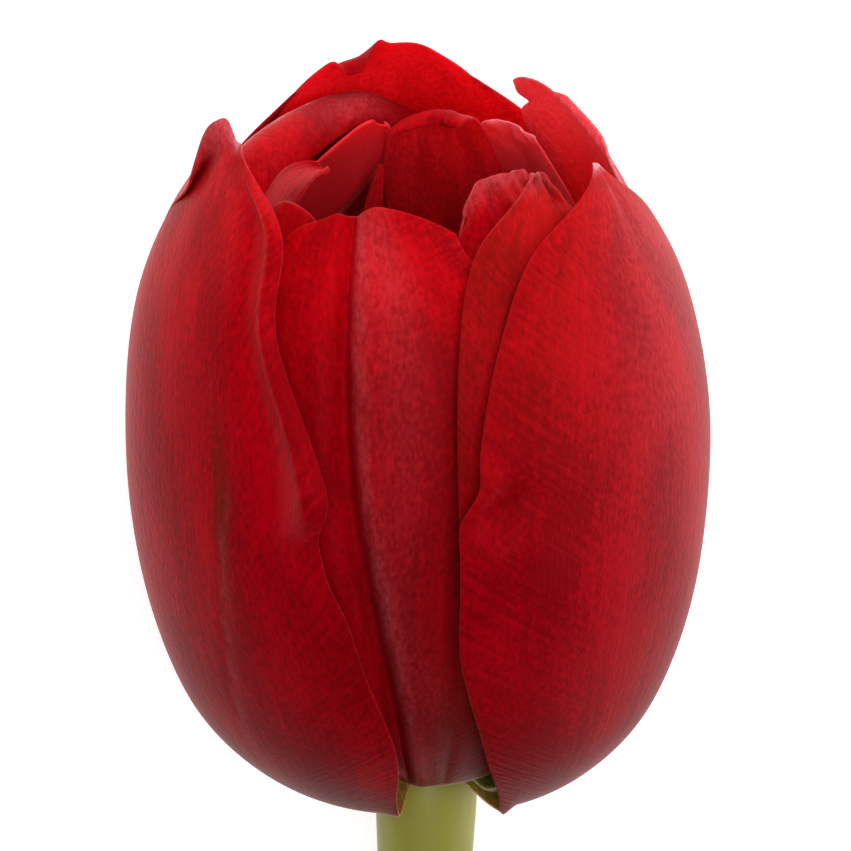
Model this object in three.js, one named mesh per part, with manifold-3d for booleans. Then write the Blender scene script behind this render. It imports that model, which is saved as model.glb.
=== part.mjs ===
// A picked double tulip, lying on its back petal and on the cut end of its stem.
// Millimetres and degrees, +Z up. The bloom points along +Y and its front faces up.
// The origin is the middle of the small flat where the back petal rests.

import * as THREE from "three";
import Module from "manifold-3d";
import { mergeVertices } from "three/addons/utils/BufferGeometryUtils.js";

// ---- Driving dimensions -------------------------------------------------------------------

const PETAL_THICKNESS = 0.7;
const SEAT_GAP = 0.3; // between a petal's foot and the receptacle that carries it

const AXIS_RISE = 9; // how far the bloom's axis slopes up from the stem
const REST_HEIGHT = 21.05; // height of the bloom's foot, on its axis, above the surface
const REST_ALONG = 21.8; // how far the resting flat lies beyond the bloom's foot
const FOOT_SHIFT = 0.9; // how far the foot sits to the right of the bloom's belly

// The petals fill the space between two shells, each given at stations an eighth of a plain
// petal apart, from foot to tip and two past it, as radius from the bloom's axis and height
// above its foot.
const STATIONS_PER_PETAL = 8;
const OUTER_SHELL = {
  radius: [4.9, 9.6, 15.8, 21.0, 24.6, 25.75, 24.2, 20.6, 17.2, 13.6, 9.5],
  height: [0.0, -2.0, 1.0, 7.2, 18.0, 31.0, 43.0, 51.5, 57.0, 61.5, 65.0],
};
const HEART_SHELL = {
  radius: [4.2, 5.4, 6.3, 6.9, 7.2, 7.2, 6.6, 5.2, 3.6, 2.0, 0.6],
  height: [12.0, 12.6, 15.0, 20.0, 27.0, 35.0, 43.0, 50.0, 55.0, 59.0, 62.0],
};
const TIP_STRETCH = 45; // length of the shell's upper part that a share of 1 stands for

// Reach of a plain petal from its midrib to either margin, at the same stations.
const PLAIN_REACH = [3.0, 6.0, 10.5, 14.5, 17.5, 19.0, 17.0, 12.0, 4.0];

const STEM = {
  length: 108.2, // from the bloom's foot to the cut
  radius: 4.2,
  neckRadius: 4.6, // just under the petals
  cutSlant: 8, // degrees that the cut leans from square
  sway: 5.5, // how far the stem bends sideways
  arch: 2.2, // how far its middle stands above the straight line
};
const RECEPTACLE_HEIGHT = 12;

const PISTIL = { radius: 2.5, height: 19, stigmaReach: 4.0 };
const STAMEN = { count: 6, filament: 9, anther: 12, antherRadius: 1.1, circle: 4.0, lean: 7 };

// ---- Petals -------------------------------------------------------------------------------
// azimuth   the midrib's direction round the axis, 0 at the front and 90 at the right
// depth     share of the way from the outer shell to the heart, and wrap what the right
//           margin adds to it and the left margin takes off, above the foot
// left      reach to the left margin at the stations, and right the same
// open      how far the tip stands away from the axis, and rise how far it passes the plain tip
// twist     degrees that the tip turns round the axis
// crown     how far the tip's edge falls back at the left margin and at the right one, and
// flare     how far it stands out there
// grooves   folds along the petal: at (-1 to 1 across) at the stations, depth and width
// notches   dips in the tip's edge: at, depth and width
// lobes     stretches of the tip's edge that stand up: at, width, rise, and out from the axis
// rolls     stretches of the tip that roll inwards: at, width and the length that rolls, round
//           a circle of radius bend at the middle and bendSlope more at the right margin
// round     the tip narrows along a quarter circle from a share of the petal's length to a
//           share of its width
// lip       a margin that stands out: margin (-1 left, 1 right), from and to along the petal,
//           width and lift
// grid      quads along and across the petal

const scaled = (list, factor) => list.map((reach) => reach * factor);
const steady = (at) => Array(STATIONS_PER_PETAL + 1).fill(at);

const PETALS = {
  outer_petal_left: {
    azimuth: -50, twist: -13, depth: 0, open: 1.1, rise: 1.7, crown: [3, 0], flare: [0.8, 0],
    left: [3.6, 7.5, 14.0, 19.0, 21.0, 21.0, 18.0, 10.0, 4.0], grid: [24, 16],
    right: [3.0, 6.2, 11.4, 16.0, 15.8, 15.2, 10.6, 9.2, 0.5],
    grooves: [{ at: steady(0.25), depth: 0.3, width: 0.08 }],
    lobes: [{ at: -0.68, width: 0.25, rise: 3.0, out: 2.0 }],
    lip: { margin: 1, from: 0.55, to: 0.95, width: 0.28, lift: 1.4 },
  },
  outer_petal_right: {
    azimuth: 62, twist: 5, depth: 0, open: -0.7, rise: -0.7, crown: [0, 1], grid: [22, 12],
    left: [2.8, 4.2, 10.4, 17.2, 23.2, 23.0, 20.0, 13.3, 0.5],
    right: [3.6, 6.0, 11.0, 16.0, 20.0, 21.0, 19.0, 10.5, 0.5],
    grooves: [{ at: steady(0), depth: 0.3, width: 0.08 }],
  },
  outer_petal_back: {
    azimuth: 188, twist: 7, depth: 0, open: -0.5, rise: 7.9, crown: [4.6, 8.6], grid: [22, 18],
    left: [3.8, 6.0, 11.0, 17.0, 22.0, 24.5, 22.5, 18.0, 9.0],
    right: [3.8, 6.0, 11.0, 17.0, 22.0, 24.5, 22.5, 18.0, 10.0],
    notches: [
      { at: 0.06, depth: -1.0, width: 0.07 }, { at: -0.35, depth: -0.6, width: 0.25 },
      { at: 0.28, depth: -0.7, width: 0.16 },
    ],
    rolls: [{ at: 0.28, width: 0.17, length: 2.8 }], bend: 1.4,
  },
  second_petal_front: {
    azimuth: -9, twist: -11, depth: 0.16, wrap: 0.06, open: -0.6, rise: -2.3, crown: [4.5, 2.5],
    left: [2.6, 6.0, 10.0, 13.0, 15.0, 16.5, 15.0, 11.0, 7.0],
    right: [2.8, 6.4, 10.0, 13.5, 16.0, 18.5, 18.5, 15.0, 9.5], grid: [20, 12],
    grooves: [{ at: [0.05, 0.05, 0.05, 0.03, -0.06, -0.16, -0.12, -0.04, 0], depth: 1.3, width: 0.08 }],
    notches: [{ at: 0, depth: 1.2, width: 0.12 }, { at: -0.35, depth: 0.9, width: 0.3 }],
  },
  second_petal_back_left: {
    azimuth: -145, depth: 0.1, rise: 6.8, crown: [5, 6], open: -0.7, grid: [22, 14],
    left: [3.0, 6.0, 10.5, 14.5, 17.5, 19.0, 18.0, 15.0, 8.0],
    right: [3.2, 7.0, 12.5, 17.5, 20.0, 20.0, 18.5, 16.5, 13.0],
    rolls: [{ at: 0.8, width: 0.9, length: 7.4 }, { at: -1, width: 1, length: 6.1 }],
    bend: 2.4, bendSlope: 0.8,
  },
  second_petal_back_right: {
    azimuth: 109, twist: 18, depth: 0.1, rise: 5, crown: [1.5, 1.2], open: -0.2, flare: [0, 0.9],
    grid: [20, 12],
    left: [3.0, 5.0, 8.5, 12.0, 15.0, 16.5, 15.6, 10.4, 3.4],
    right: [3.0, 6.0, 10.5, 14.5, 17.0, 15.0, 9.0, 6.4, 3.7],
    lip: { margin: -1, from: 0.88, to: 1.2, width: 0.25, lift: 0.8 },
  },
  third_petal_front_right: {
    azimuth: 40, twist: 2, depth: 0.1, open: -0.5, rise: -0.2, grid: [14, 10],
    left: [0.8, 0.8, 2.8, 7.6, 12.0, 13.2, 12.2, 8.6, 0.6],
    right: [2.2, 3.8, 7.0, 10.0, 10.5, 10.5, 9.0, 4.5, 0.6],
  },
  third_petal_left: {
    azimuth: -48, depth: 0.255, rise: -3.1, crown: [2, 2.5], open: -0.4, grid: [14, 10],
    left: scaled(PLAIN_REACH, 0.65),
    right: [2.0, 3.0, 5.2, 7.6, 9.4, 10.4, 10.0, 8.8, 6.0],
  },
  third_petal_back: {
    azimuth: 178, depth: 0.2, rise: -7, crown: [3, 2], open: -2.4, grid: [14, 10],
    left: scaled(PLAIN_REACH, 0.52), right: scaled(PLAIN_REACH, 0.7),
  },
  inner_petal_front_right: {
    azimuth: 33, depth: 0.33, rise: -0.3, open: -0.8, crown: [3, 0], grid: [14, 8],
    left: [1.7, 2.5, 4.7, 7.4, 9.6, 10.5, 9.4, 7.0, 4.0],
    right: [1.7, 2.5, 4.7, 7.4, 9.6, 10.5, 9.4, 7.0, 4.0],
  },
  inner_petal_left: {
    azimuth: -84, twist: 23, depth: 0.35, rise: 0.8, open: -1.75, grid: [16, 8],
    left: [1.2, 2.0, 3.6, 5.2, 6.4, 7.0, 6.6, 5.6, 4.6],
    right: [1.2, 2.4, 4.0, 5.4, 6.4, 6.6, 5.0, 3.0, 2.6],
    rolls: [{ at: 0, width: 1.5, length: 4 }], bend: 3, round: [0.85, 0.3],
  },
  inner_petal_back_left: {
    azimuth: -95, twist: -65, depth: 0.44, rise: 0.4, open: -2.2, crown: [0, -0.2],
    flare: [0, -1.3], grid: [16, 8],
    left: [1.2, 2.2, 3.7, 5.1, 6.1, 7.2, 7.8, 4.7, 2.0],
    right: [1.2, 2.2, 3.7, 5.1, 6.1, 6.6, 6.0, 7.0, 8.0],
    lip: { margin: -1, from: 0.7, to: 1.2, width: 0.4, lift: 1.0 }, round: [0.85, 0.3],
  },
  inner_petal_back_right: {
    azimuth: 136, depth: 0.32, rise: 0.8, open: -1.8, crown: [1, 2], grid: [14, 8],
    left: [1.5, 2.3, 4.2, 6.7, 8.7, 9.5, 8.5, 7.5, 5.0],
    right: [1.2, 1.8, 3.4, 5.4, 7.0, 7.6, 7.4, 6.6, 4.6],
  },
  heart_petal_back: {
    azimuth: 158, depth: 0.58, rise: 5.4, crown: [1.5, 4], open: -1.2, grid: [18, 8],
    left: [1.2, 1.8, 3.4, 5.4, 7.0, 7.6, 6.8, 5.5, 4.0],
    right: [1.2, 1.8, 3.4, 5.4, 7.0, 7.6, 7.8, 7.6, 6.4],
    rolls: [{ at: 0, width: 1.2, length: 3.1 }], bend: 1.2,
  },
  heart_petal_left: {
    azimuth: -156, depth: 0.7, rise: -3, open: -1, round: [0.85, 0.3], grid: [12, 6],
    left: [0.8, 1.5, 2.6, 3.6, 4.0, 3.6, 2.4, 1.2, 0.8],
    right: [0.8, 1.5, 2.6, 3.6, 4.0, 3.6, 2.4, 1.2, 0.8],
  },
  heart_petal_right: {
    azimuth: 62, depth: 0.56, rise: -8, crown: [2, 2], open: -1, grid: [12, 8],
    left: scaled(PLAIN_REACH, 0.36), right: scaled(PLAIN_REACH, 0.36),
  },
};

const PLAIN = {
  twist: 0, wrap: 0, open: 0, rise: 0, crown: [0, 0], flare: [0, 0], grooves: [], notches: [],
  lobes: [], rolls: [], bend: 2, bendSlope: 0, round: [1, 1],
};

// ---- The petal's surface ------------------------------------------------------------------

const radians = (degrees) => (degrees * Math.PI) / 180;
const mix = (a, b, share) => a + (b - a) * share;

// 0 before `start`, 1 after `end`, and smooth between them.
function rampUp(start, end, x) {
  const share = Math.min(Math.max((x - start) / (end - start), 0), 1);
  return share * share * (3 - 2 * share);
}

// 1 at `at`, falling to 0 over about `width` on both sides.
const bump = (at, width, x) => Math.exp(-(((x - at) / width) ** 2));

// Near 1 within `width` of `at`, and falling steeply to 0 outside it.
const plateau = (at, width, x) => Math.exp(-(((x - at) / width) ** 4));

// A smooth curve through the values of `stations`, read at `share` of a plain petal's length.
function along(stations, share) {
  const last = stations.length - 1;
  const place = share * STATIONS_PER_PETAL;
  const step = Math.min(Math.max(Math.floor(place), 0), last - 1);
  const x = place - step;
  const before = stations[Math.max(step - 1, 0)];
  const [from, to] = [stations[step], stations[step + 1]];
  const after = stations[Math.min(step + 2, last)];
  const slopeIn = (to - before) / 2;
  const slopeOut = (after - from) / 2;
  return (
    (2 * (from - to) + slopeIn + slopeOut) * x ** 3 +
    (3 * (to - from) - 2 * slopeIn - slopeOut) * x ** 2 +
    slopeIn * x +
    from
  );
}

// Radius and height of the shell that lies `depth` between the outer one and the heart. Past
// `start` the blade leaves it and rolls inwards round a circle of radius `bend`.
function rolledProfile(share, depth, start, bend) {
  const between = (key, x) => mix(along(OUTER_SHELL[key], x), along(HEART_SHELL[key], x), depth);
  const shellAt = (x) => [between("radius", x), between("height", x)];
  const [radius, height] = shellAt(Math.min(share, start));
  if (share <= start) return [radius, height];
  const [radiusBefore, heightBefore] = shellAt(start - 0.01);
  const slope = Math.atan2(height - heightBefore, radius - radiusBefore);
  const end = slope + ((share - start) * TIP_STRETCH) / bend;
  return [
    radius + bend * (Math.sin(end) - Math.sin(slope)),
    height - bend * (Math.cos(end) - Math.cos(slope)),
  ];
}

// The middle surface of a petal in the bloom's own frame, its axis along +Y and its front
// towards +Z. `up` runs from 0 at the foot to 1 at the tip, `across` from -1 to 1.
function petalPoint(petal, up, across) {
  const depth = petal.depth + petal.wrap * across * rampUp(0, 0.3, up);
  const tip = rampUp(0.6, 1, up);
  const side = across < 0 ? 0 : 1;
  let rise = petal.rise - petal.crown[side] * across ** 2;
  let out = petal.flare[side] * across ** 2;
  for (const notch of petal.notches) rise -= notch.depth * bump(notch.at, notch.width, across);
  for (const lobe of petal.lobes) {
    const there = plateau(lobe.at, lobe.width, across);
    rise += lobe.rise * there;
    out += lobe.out * there;
  }
  let rolled = 0;
  for (const roll of petal.rolls) rolled += roll.length * plateau(roll.at, roll.width, across);
  const start = 1 + (rise - rolled) / TIP_STRETCH;
  const bend = petal.bend + petal.bendSlope * across;
  let [radius, height] = rolledProfile(up + (rise * tip) / TIP_STRETCH, depth, start, bend);
  let reach = along([petal.left, petal.right][side], up);
  const [roundFrom, roundEnd] = petal.round;
  if (up > roundFrom)
    reach *= mix(roundEnd, 1, Math.sqrt(Math.max(1 - ((up - roundFrom) / (1 - roundFrom)) ** 2, 0)));
  const turn = radians(petal.azimuth + petal.twist * tip) + (across * reach) / radius;
  radius += petal.open * tip + out * rampUp(0.88, 1, up);
  for (const groove of petal.grooves)
    radius -= groove.depth * bump(along(groove.at, up), groove.width, across) * rampUp(0, 0.3, up);
  if (petal.lip) {
    const { margin, from, to, width, lift } = petal.lip;
    const fade = rampUp(from, from + 0.1, up) * (1 - rampUp(to - 0.1, to, up));
    radius += lift * fade * rampUp(1 - width, 1, margin * across);
  }
  const shift = FOOT_SHIFT * (1 - rampUp(0, 0.8, up));
  return new THREE.Vector3(radius * Math.sin(turn) + shift, height, radius * Math.cos(turn));
}

// The bloom lies with its axis sloping up from the stem.
const bloomToPart = new THREE.Matrix4()
  .makeTranslation(0, -REST_ALONG, REST_HEIGHT)
  .multiply(new THREE.Matrix4().makeRotationX(radians(AXIS_RISE)));

// ---- Solids -------------------------------------------------------------------------------

// Rows and columns stand closer together towards the ends, 0 and 1.
const spread = (share) => {
  const x = 2 * share - 1;
  return (mix(x, Math.sin((x * Math.PI) / 2), 0.6) + 1) / 2;
};

const noLowerThan = (floor, point) => point.setZ(Math.max(point.z, floor));

// A closed thin solid from a grid of points: both faces, and a rim round the grid's border.
// It is pressed flat where it would reach below the surface that the flower lies on.
function thinSolid(rows, cols, thickness, pointAt) {
  const mid = [];
  for (let i = 0; i <= rows; i++)
    for (let j = 0; j <= cols; j++) mid.push(pointAt(spread(i / rows), 2 * spread(j / cols) - 1));
  const at = (i, j) =>
    mid[Math.min(Math.max(i, 0), rows) * (cols + 1) + Math.min(Math.max(j, 0), cols)];
  const outside = [];
  const inside = [];
  for (let i = 0; i <= rows; i++)
    for (let j = 0; j <= cols; j++) {
      const alongPetal = at(i + 1, j).clone().sub(at(i - 1, j));
      const acrossPetal = at(i, j + 1).clone().sub(at(i, j - 1));
      const out = acrossPetal.cross(alongPetal).normalize().multiplyScalar(thickness / 2);
      outside.push(noLowerThan(0, at(i, j).clone().add(out)));
      inside.push(noLowerThan(thickness, at(i, j).clone().sub(out)));
    }
  const points = [...outside, ...inside];
  const far = mid.length;
  const index = (i, j) => i * (cols + 1) + j;
  const faces = [];
  for (let i = 0; i < rows; i++)
    for (let j = 0; j < cols; j++) {
      const [a, b, c, d] = [index(i, j), index(i, j + 1), index(i + 1, j + 1), index(i + 1, j)];
      faces.push(a, b, c, a, c, d);
      faces.push(a + far, c + far, b + far, a + far, d + far, c + far);
    }
  const border = [];
  for (let j = 0; j < cols; j++) border.push(index(0, j));
  for (let i = 0; i < rows; i++) border.push(index(i, cols));
  for (let j = cols; j > 0; j--) border.push(index(rows, j));
  for (let i = rows; i > 0; i--) border.push(index(i, 0));
  border.forEach((a, k) => {
    const b = border[(k + 1) % border.length];
    faces.push(a, a + far, b + far, a, b + far, b);
  });
  const geometry = new THREE.BufferGeometry().setFromPoints(points);
  geometry.setIndex(faces);
  return geometry;
}

// A round solid from a profile of [radius, height] pairs about the bloom's axis, which starts
// and ends on the axis.
function turned(profile, sides) {
  const points = profile.map(([radius, height]) => new THREE.Vector2(radius, height));
  return new THREE.LatheGeometry(points, sides);
}

// Moves every point of a geometry.
function reshaped(geometry, move) {
  const position = geometry.getAttribute("position");
  const point = new THREE.Vector3();
  for (let i = 0; i < position.count; i++) {
    move(point.fromBufferAttribute(position, i));
    position.setXYZ(i, point.x, point.y, point.z);
  }
  return geometry;
}

const wasm = await Module();
wasm.setup();

// Joins closed geometries in one solid.
function joined(geometries) {
  const solids = geometries.map((geometry) => {
    const bare = geometry.clone();
    bare.deleteAttribute("normal");
    bare.deleteAttribute("uv");
    const merged = mergeVertices(bare, 1e-4);
    const vertProperties = merged.getAttribute("position").array;
    const triVerts = new Uint32Array(merged.index.array);
    return new wasm.Manifold(new wasm.Mesh({ numProp: 3, vertProperties, triVerts }));
  });
  const mesh = solids.reduce((whole, solid) => whole.add(solid)).getMesh();
  const geometry = new THREE.BufferGeometry();
  geometry.setAttribute("position", new THREE.BufferAttribute(mesh.vertProperties, 3));
  geometry.setIndex(new THREE.BufferAttribute(mesh.triVerts, 1));
  return geometry;
}

// ---- Stem, with the receptacle that carries the petals -------------------------------------

// Radius of the receptacle at a height above the bloom's foot: it follows the petals' feet.
function receptacleRadius(height) {
  const footRadius = mix(OUTER_SHELL.radius[0], HEART_SHELL.radius[0], height / RECEPTACLE_HEIGHT);
  return footRadius - PETAL_THICKNESS / 2 - SEAT_GAP;
}

function stemGeometry() {
  const { length, radius, neckRadius, cutSlant, sway, arch } = STEM;
  const profile = [[0, -length], [radius - 0.15, -length]];
  for (let below = length - 1; below > 12; below -= 7) profile.push([radius, -below]);
  profile.push([mix(radius, neckRadius, 0.5), -7.5], [neckRadius, -4], [neckRadius, -2.2]);
  profile.push([receptacleRadius(0), -0.8]);
  for (const height of [4, 8, RECEPTACLE_HEIGHT - 0.8]) profile.push([receptacleRadius(height), height]);
  profile.push([receptacleRadius(RECEPTACLE_HEIGHT) - 0.8, RECEPTACLE_HEIGHT], [0, RECEPTACLE_HEIGHT]);
  return reshaped(turned(profile, 20), (point) => {
    const below = Math.max(-point.y, 0) / length;
    const cut = point.z * Math.tan(radians(cutSlant)) * rampUp(0.95, 1, below);
    point.x += FOOT_SHIFT - sway * below ** 1.5;
    point.y += cut;
    point.z += arch * Math.sin(Math.PI * below) * below;
    point.applyMatrix4(bloomToPart);
  });
}

// ---- Pistil and stamens --------------------------------------------------------------------

// The ovary is a rounded three-sided column, with three short lobes of stigma spread on top.
function pistilGeometry() {
  const { radius, height, stigmaReach } = PISTIL;
  const foot = RECEPTACLE_HEIGHT + SEAT_GAP;
  const profile = [
    [0, foot], [radius * 0.8, foot], [radius, foot + 2], [radius, foot + height * 0.5],
    [radius * 0.8, foot + height * 0.85], [stigmaReach * 0.8, foot + height - 0.7],
    [stigmaReach, foot + height + 0.6], [stigmaReach * 0.5, foot + height + 1.1],
    [0, foot + height + 0.5],
  ];
  return reshaped(turned(profile, 18), (point) => {
    const around = Math.atan2(point.x, point.z);
    const top = rampUp(foot + height * 0.85, foot + height, point.y);
    const lobes = 1 + mix(0.08, 0.35, top) * (Math.cos(3 * around) - mix(0, 0.4, top));
    point.x = point.x * lobes + FOOT_SHIFT;
    point.z *= lobes;
    point.applyMatrix4(bloomToPart);
  });
}

// Six stamens on one ring round the pistil's foot.
function stamensGeometry() {
  const { count, filament, anther, antherRadius, circle, lean } = STAMEN;
  const foot = RECEPTACLE_HEIGHT + SEAT_GAP;
  const [inner, outer] = [PISTIL.radius * 1.1 + SEAT_GAP, circle + 0.8];
  const ring = turned([[inner, foot], [outer, foot], [outer, foot + 1.2], [inner, foot + 1.2], [inner, foot]], 18);
  const pieces = [ring];
  for (let k = 0; k < count; k++) {
    const thread = turned([[0, 0], [0.8, 0], [0.45, filament], [0, filament]], 6);
    const head = turned(
      [[0, -0.6], [antherRadius * 0.7, 0], [antherRadius, anther * 0.35],
        [antherRadius * 0.85, anther * 0.75], [0, anther]], 8);
    head.scale(0.75, 1, 1).translate(0, filament - 1, 0);
    for (const piece of [thread, head]) {
      piece.rotateX(radians(lean)).translate(0, foot + 0.4, circle);
      piece.rotateY(radians((360 * k) / count + 30));
      pieces.push(piece);
    }
  }
  return joined(pieces).translate(FOOT_SHIFT, 0, 0).applyMatrix4(bloomToPart);
}

// ---- The flower ----------------------------------------------------------------------------

const finish = (color, roughness) =>
  new THREE.MeshStandardMaterial({ color, roughness, metalness: 0 });
const petalRed = finish(0xa8101c, 0.45);
const stemGreen = finish(0x86823d, 0.5);
const ovaryGreen = finish(0xc3c27a, 0.5);
const antherBlack = finish(0x2a1a2b, 0.8);

const flower = new THREE.Group();

function add(name, geometry, material) {
  const mesh = new THREE.Mesh(geometry, material);
  mesh.name = name;
  flower.add(mesh);
}

for (const [name, shape] of Object.entries(PETALS)) {
  const petal = { ...PLAIN, ...shape };
  const [rows, cols] = petal.grid;
  const surface = (up, across) => petalPoint(petal, up, across).applyMatrix4(bloomToPart);
  add(name, thinSolid(rows, cols, PETAL_THICKNESS, surface), petalRed);
}
add("stem", stemGeometry(), stemGreen);
add("pistil", pistilGeometry(), ovaryGreen);
add("stamens", stamensGeometry(), antherBlack);

export default flower;
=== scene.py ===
# %% [markdown]
# # A picked double tulip
# The flower lies on a pale table, on its back petal and on the rim of its cut stem. The packed
# model holds every piece at its real size and place. This lesson replaces each plain solid with a
# finer piece of the same form, and gives each one the finish of a living petal, stalk or anther.

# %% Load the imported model
import math
from functools import partial

import bmesh
import bpy
from mathutils import Matrix, Vector, noise


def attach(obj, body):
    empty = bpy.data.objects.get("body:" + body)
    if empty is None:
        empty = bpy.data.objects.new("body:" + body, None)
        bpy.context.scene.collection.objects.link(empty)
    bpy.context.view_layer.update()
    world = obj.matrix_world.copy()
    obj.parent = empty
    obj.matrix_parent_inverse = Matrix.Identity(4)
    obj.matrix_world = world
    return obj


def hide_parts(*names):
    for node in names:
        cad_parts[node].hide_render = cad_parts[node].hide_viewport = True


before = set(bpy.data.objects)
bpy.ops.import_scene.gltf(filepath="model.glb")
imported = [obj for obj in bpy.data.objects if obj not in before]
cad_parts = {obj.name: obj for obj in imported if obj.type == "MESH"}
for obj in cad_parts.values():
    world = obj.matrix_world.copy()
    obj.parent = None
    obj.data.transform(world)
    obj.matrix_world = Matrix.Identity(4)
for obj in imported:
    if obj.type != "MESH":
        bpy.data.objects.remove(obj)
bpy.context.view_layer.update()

scene = bpy.context.scene
MM = 0.001  # sizes are given in mm unless a comment says otherwise, and the scene is in metres
print("nodes in the frame:", len(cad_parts))

# %% [markdown]
# ## The camera
# The bloom's axis slopes up by 9 degrees from its foot, and the camera stands 15 degrees above
# square to that axis, so it looks almost straight down. A long lens, far away, keeps the near and
# the far petals at the same scale, as in a portrait of a flower. The camera comes first because
# everything after it is judged through it.

# %% Set up the camera
AXIS_RISE = math.radians(9)  # slope of the bloom's axis
CAMERA_ABOVE_SQUARE = math.radians(15)
FOOT = Vector((0, -21.8, 21.05))  # the bloom's foot
VIEW_SIDE = 75.65  # side of the square that the camera sees
VIEW_CENTRE = Vector((0.8, 29.87, 7.8))  # right of the foot, above it and nearer
CAMERA_DISTANCE = 650
SENSOR = 36

camera_turn = Matrix.Rotation(AXIS_RISE - CAMERA_ABOVE_SQUARE, 3, "X")
camera = bpy.data.objects.new("camera", bpy.data.cameras.new("camera"))
scene.collection.objects.link(camera)
camera.matrix_world = camera_turn.to_4x4()
camera.location = MM * (FOOT + camera_turn @ (VIEW_CENTRE + Vector((0, 0, CAMERA_DISTANCE))))
camera.data.sensor_fit = "HORIZONTAL"
camera.data.sensor_width = SENSOR
camera.data.lens = SENSOR * CAMERA_DISTANCE / VIEW_SIDE
scene.camera = camera
print("lens in mm:", round(camera.data.lens))

# %% [markdown]
# ## Colours and nodes
# Colours are easiest to pick as sRGB hex values, but a shader works in linear light, so one
# function turns the one into the other. A second small function adds a node with its settings and
# its links, which keeps each material readable as a list of steps.

# %% Helpers for materials


def colour(hex_value):
    """An sRGB hex value as linear red, green, blue and alpha."""
    parts = [int(hex_value[k : k + 2], 16) / 255 for k in (1, 3, 5)]
    linear = [p / 12.92 if p <= 0.04045 else ((p + 0.055) / 1.055) ** 2.4 for p in parts]
    return (*linear, 1.0)


def add_node(tree, kind, inputs=None, stops=(), **settings):
    """Adds a node. An input is a plain value, or another node's output to link from, and the
    stops are the (place, hex colour) pairs of a colour ramp."""
    node = tree.nodes.new(kind)
    for key, value in settings.items():
        setattr(node, key, value)
    for key, value in (inputs or {}).items():
        if isinstance(value, bpy.types.NodeSocket):
            tree.links.new(value, node.inputs[key])
        else:
            node.inputs[key].default_value = value
    for _ in stops[2:]:
        node.color_ramp.elements.new(0.5)
    for k, (place, shade) in enumerate(stops):
        node.color_ramp.elements[k].position = place
        node.color_ramp.elements[k].color = colour(shade)
    return node


def new_material(name):
    material = bpy.data.materials.new(name)
    material.use_nodes = True
    return material, material.node_tree, material.node_tree.nodes["Principled BSDF"]


print("a mid grey in linear light:", round(colour("#808080")[0], 3))

# %% [markdown]
# ## The table
# A sheet of matt white stands for the table, wide enough that its edge is never seen. It throws
# light back up under the bloom, which gives the lower outline its thin pale rim, and a faint glow
# of its own keeps it evenly white. It is the first mesh, so the helper that turns any bmesh into
# an object is defined here.

# %% The table top
TABLE_SIDE = 6000
TABLE_GLOW = 0.5


def new_piece(shape, name, matters):
    """The object of a bmesh that is in mm, smooth all over, with its finishes."""
    bmesh.ops.transform(shape, matrix=Matrix.Scale(MM, 4), verts=shape.verts)
    for face in shape.faces:
        face.smooth = True
    mesh = bpy.data.meshes.new(name)
    shape.to_mesh(mesh)
    shape.free()
    for matter in matters:
        mesh.materials.append(matter)
    piece = bpy.data.objects.new(name, mesh)
    scene.collection.objects.link(piece)
    return piece


table_matter, _, shader = new_material("matt white table top, lit from below")
shader.inputs["Base Color"].default_value = colour("#f6f6f6")
shader.inputs["Roughness"].default_value = 0.9
shader.inputs["Emission Color"].default_value = (1, 1, 1, 1)
shader.inputs["Emission Strength"].default_value = TABLE_GLOW
sheet = bmesh.new()
bmesh.ops.create_grid(sheet, x_segments=1, y_segments=1, size=TABLE_SIDE / 2)
floor = new_piece(sheet, "floor", [table_matter])
print("table side in mm:", TABLE_SIDE)

# %% [markdown]
# ## Soft studio light
# A flower is lit by large soft sources, so that its satin skin shows broad pale sheens and no
# hard shadow. One wide lamp hangs straight above, three low ones stand beyond the tip and on
# both sides, and a faint even world fills the rest.

# %% The lamps
LAMP_AIM = Vector((0, 0.01, 0.02))  # the bloom's middle, in metres
LAMPS = {  # azimuth from beyond the tip to the right, elevation, distance and side in m, watts
    "lamp above": (90, 84, 1.3, 0.9, 10.3),
    "lamp beyond the tip": (15, 20, 0.8, 0.55, 4.2),
    "lamp at the right": (90, 20, 0.8, 0.55, 2.3),
    "lamp at the left": (-60, 20, 0.8, 0.55, 2.1),
}


def soft_lamp(name, azimuth, elevation, distance, side, power):
    """A square lamp that faces the bloom. It lights the scene but isn't seen itself."""
    azimuth, elevation = math.radians(azimuth), math.radians(elevation)
    level = math.cos(elevation)
    way = Vector((math.sin(azimuth) * level, math.cos(azimuth) * level, math.sin(elevation)))
    lamp = bpy.data.objects.new(name, bpy.data.lights.new(name, "AREA"))
    lamp.data.shape = "SQUARE"
    lamp.data.size = side
    lamp.data.energy = power
    lamp.location = LAMP_AIM + distance * way
    lamp.rotation_euler = way.to_track_quat("Z", "Y").to_euler()
    lamp.visible_camera = False
    scene.collection.objects.link(lamp)


for name, values in LAMPS.items():
    soft_lamp(name, *values)
print("lamps:", len(LAMPS))

# %% The room
ROOM_STRENGTH = 0.12
world = bpy.data.worlds.new("soft room")
world.use_nodes = True
world.node_tree.nodes["Background"].inputs["Color"].default_value = (1, 1, 1, 1)
world.node_tree.nodes["Background"].inputs["Strength"].default_value = ROOM_STRENGTH
scene.world = world
scene.view_settings.view_transform = "Standard"
print("view transform:", scene.view_settings.view_transform)

# %% [markdown]
# ## The petals' shared surface
# All sixteen petals fill the space between two shells: the outer one is the goblet of the bloom,
# the inner one the narrow heart. Each shell is a profile of radius and height at stations from
# foot to tip. A petal is a strip of such a shell, at its own depth between the two, with its own
# outline. One function gives the point of any petal at a share up its length and a place across
# its width, and everything finer is added to that function.

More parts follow.
